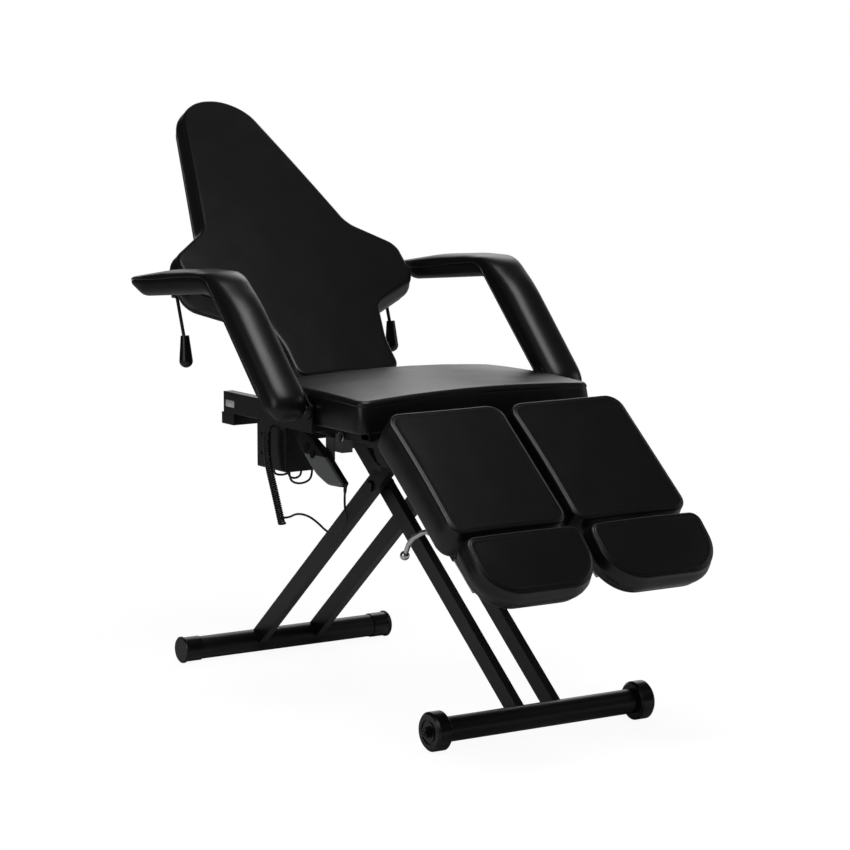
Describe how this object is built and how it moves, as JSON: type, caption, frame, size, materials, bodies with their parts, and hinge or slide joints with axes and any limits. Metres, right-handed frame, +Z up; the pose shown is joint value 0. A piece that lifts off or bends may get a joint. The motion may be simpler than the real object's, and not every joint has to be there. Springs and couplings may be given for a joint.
{
  "type": "tattoo chair",
  "caption": "Height-adjustable upholstered treatment chair with reclining back, swing-up armrests, split leg rests and a scissor lift on a floor bar and rollers.",
  "frame": {"origin": "on the floor, midway between the left and right sides and under the middle of the chair's length", "axes": "+Z up, +Y towards the head end (the back of the chair), +X towards the sitter's left"},
  "size_m": [0.836, 1.7049, 1.3058],
  "materials": {
    "black powder coat": "satin",
    "black vinyl": "satin",
    "black plastic": "satin",
    "bright steel": "polished",
    "chrome": "polished",
    "grey plastic": "satin",
    "plywood": "raw",
    "black rubber": "matte"
  },
  "bodies": {
    "upper_frame": {"seat_rails": "black powder coat", "rail_end_plugs": "black plastic", "cross_tubes": "black powder coat", "seat_bearers": "black powder coat", "lift_tracks": "bright steel", "frame_bolts": "bright steel", "lift_actuator": "black powder coat", "control_box": "black plastic", "control_box_cover": "black plastic", "control_box_screws": "bright steel", "control_cables": "black rubber", "curly_cord": "black rubber", "handset_lead": "black rubber", "handset_back": "black plastic", "handset_front": "grey plastic", "handset_hook": "grey plastic", "hook_ring": "bright steel", "seat_board": "plywood", "seat_cushion": "black vinyl", "frame_lugs": "black powder coat", "leg_hinge_rods": "bright steel"},
    "button_up": {"handset_button_up": "black plastic"},
    "button_down": {"handset_button_down": "black plastic"},
    "outer_legs": {"rear_legs": "black powder coat", "rear_floor_tube": "black powder coat", "rear_end_caps": "black plastic", "crossing_bolts": "bright steel"},
    "inner_legs": {"front_legs": "black powder coat", "front_floor_tube": "black powder coat", "roller_bolts": "bright steel"},
    "crosshead": {"crosshead_axle": "bright steel", "slide_blocks": "black plastic", "actuator_rod": "bright steel"},
    "left_roller": {"roller_left": "black plastic"},
    "right_roller": {"roller_right": "black plastic"},
    "backrest": {"back_frame": "black powder coat", "back_board": "plywood", "back_cushion": "black vinyl"},
    "gas_cylinder": {"gas_spring_cylinder": "black powder coat"},
    "gas_rod": {"gas_spring_rod": "chrome"},
    "release_lever": {"release_rod": "black powder coat", "release_grips": "black plastic"},
    "left_armrest": {"arm_core_left": "black plastic", "arm_cushion_left": "black vinyl"},
    "left_leg_rest": {"leg_frame_left": "black powder coat", "leg_board_left": "plywood", "leg_cushion_left": "black vinyl"},
    "left_clamp": {"clamp_lever_left": "chrome"},
    "left_foot_rest": {"foot_frame_left": "chrome", "foot_cushion_left": "black vinyl"},
    "left_pawl": {"leg_pawl_left": "bright steel"},
    "right_armrest": {"arm_core_right": "black plastic", "arm_cushion_right": "black vinyl"},
    "right_leg_rest": {"leg_frame_right": "black powder coat", "leg_board_right": "plywood", "leg_cushion_right": "black vinyl"},
    "right_clamp": {"clamp_lever_right": "chrome"},
    "right_foot_rest": {"foot_frame_right": "chrome", "foot_cushion_right": "black vinyl"},
    "right_pawl": {"leg_pawl_right": "bright steel"}
  },
  "joints": [
    {"name": "lift", "type": "hinge", "parent": "upper_frame", "child": "outer_legs", "pos_m": [0, -0.20217, 0.60026], "axis": [-1, 0, 0], "range_deg": [-10.85, 8.15]},
    {"name": "leg_crossing", "type": "hinge", "parent": "outer_legs", "child": "inner_legs", "pos_m": [0, -0.05758, 0.477], "axis": [-1, 0, 0], "range_deg": [-16.3, 21.7]},
    {"name": "crosshead_turn", "type": "hinge", "parent": "inner_legs", "child": "crosshead", "pos_m": [0, 0.08955, 0.59722], "axis": [-1, 0, 0], "range_deg": [-10.85, 8.15]},
    {"name": "left_roller_spin", "type": "hinge", "parent": "inner_legs", "child": "left_roller", "pos_m": [-0.26595, -0.58934, 0.0425], "axis": [1, 0, 0], "continuous": true},
    {"name": "right_roller_spin", "type": "hinge", "parent": "inner_legs", "child": "right_roller", "pos_m": [0.26595, -0.58934, 0.0425], "axis": [1, 0, 0], "continuous": true},
    {"name": "back_recline", "type": "hinge", "parent": "upper_frame", "child": "backrest", "pos_m": [0, 0.207, 0.64], "axis": [1, 0, 0], "range_deg": [-42.8, 32]},
    {"name": "gas_low_pivot", "type": "hinge", "parent": "upper_frame", "child": "gas_cylinder", "pos_m": [0.034, 0.19741, 0.53042], "axis": [1, 0, 0], "range_deg": [-21.4, 16]},
    {"name": "gas_high_pivot", "type": "hinge", "parent": "backrest", "child": "gas_rod", "pos_m": [0.034, 0.28771, 0.71474], "axis": [1, 0, 0], "range_deg": [-16, 21.4]},
    {"name": "back_release", "type": "hinge", "parent": "backrest", "child": "release_lever", "pos_m": [0, 0.499, 0.868], "axis": [1, 0, 0], "range_deg": [-18, 0], "stiffness_Nm_per_rad": 4},
    {"name": "left_armrest_tilt", "type": "hinge", "parent": "upper_frame", "child": "left_armrest", "pos_m": [-0.322, -0.161, 0.679], "axis": [1, 0, 0], "range_deg": [0, 75]},
    {"name": "left_leg_tilt", "type": "hinge", "parent": "upper_frame", "child": "left_leg_rest", "pos_m": [-0.1575, -0.39738, 0.62488], "axis": [1, 0, 0], "range_deg": [-39.5, 20]},
    {"name": "left_foot_clamp", "type": "hinge", "parent": "left_leg_rest", "child": "left_clamp", "pos_m": [-0.278, -0.58985, 0.47004], "axis": [1, 0, 0], "range_deg": [-25, 35]},
    {"name": "left_foot_slide", "type": "slide", "parent": "left_leg_rest", "child": "left_foot_rest", "axis": [0, -0.7716, -0.6361], "range_m": [0, 0.1]},
    {"name": "left_pawl_lift", "type": "hinge", "parent": "left_leg_rest", "child": "left_pawl", "pos_m": [-0.266, -0.35753, 0.57738], "axis": [1, 0, 0], "range_deg": [0, 12], "stiffness_Nm_per_rad": 0.02},
    {"name": "right_armrest_tilt", "type": "hinge", "parent": "upper_frame", "child": "right_armrest", "pos_m": [0.322, -0.161, 0.679], "axis": [1, 0, 0], "range_deg": [0, 75]},
    {"name": "right_leg_tilt", "type": "hinge", "parent": "upper_frame", "child": "right_leg_rest", "pos_m": [0.1575, -0.39738, 0.62488], "axis": [1, 0, 0], "range_deg": [-39.5, 20]},
    {"name": "right_foot_clamp", "type": "hinge", "parent": "right_leg_rest", "child": "right_clamp", "pos_m": [0.278, -0.58985, 0.47004], "axis": [1, 0, 0], "range_deg": [-25, 35]},
    {"name": "right_foot_slide", "type": "slide", "parent": "right_leg_rest", "child": "right_foot_rest", "axis": [0, -0.7716, -0.6361], "range_m": [0, 0.1]},
    {"name": "right_pawl_lift", "type": "hinge", "parent": "right_leg_rest", "child": "right_pawl", "pos_m": [0.266, -0.35753, 0.57738], "axis": [1, 0, 0], "range_deg": [0, 12], "stiffness_Nm_per_rad": 0.02},
    {"name": "button_up_press", "type": "slide", "parent": "upper_frame", "child": "button_up", "axis": [0.9848, 0.078, -0.1551], "range_m": [0, 0.001], "stiffness_N_per_m": 500},
    {"name": "button_down_press", "type": "slide", "parent": "upper_frame", "child": "button_down", "axis": [0.9848, 0.078, -0.1551], "range_m": [0, 0.001], "stiffness_N_per_m": 500}
  ],
  "couplings": [
    {"joint": "leg_crossing", "follows": "lift", "ratio": -2},
    {"joint": "crosshead_turn", "follows": "lift", "ratio": 1},
    {"joint": "gas_low_pivot", "follows": "back_recline", "ratio": 0.5},
    {"joint": "gas_high_pivot", "follows": "back_recline", "ratio": -0.5}
  ]
}
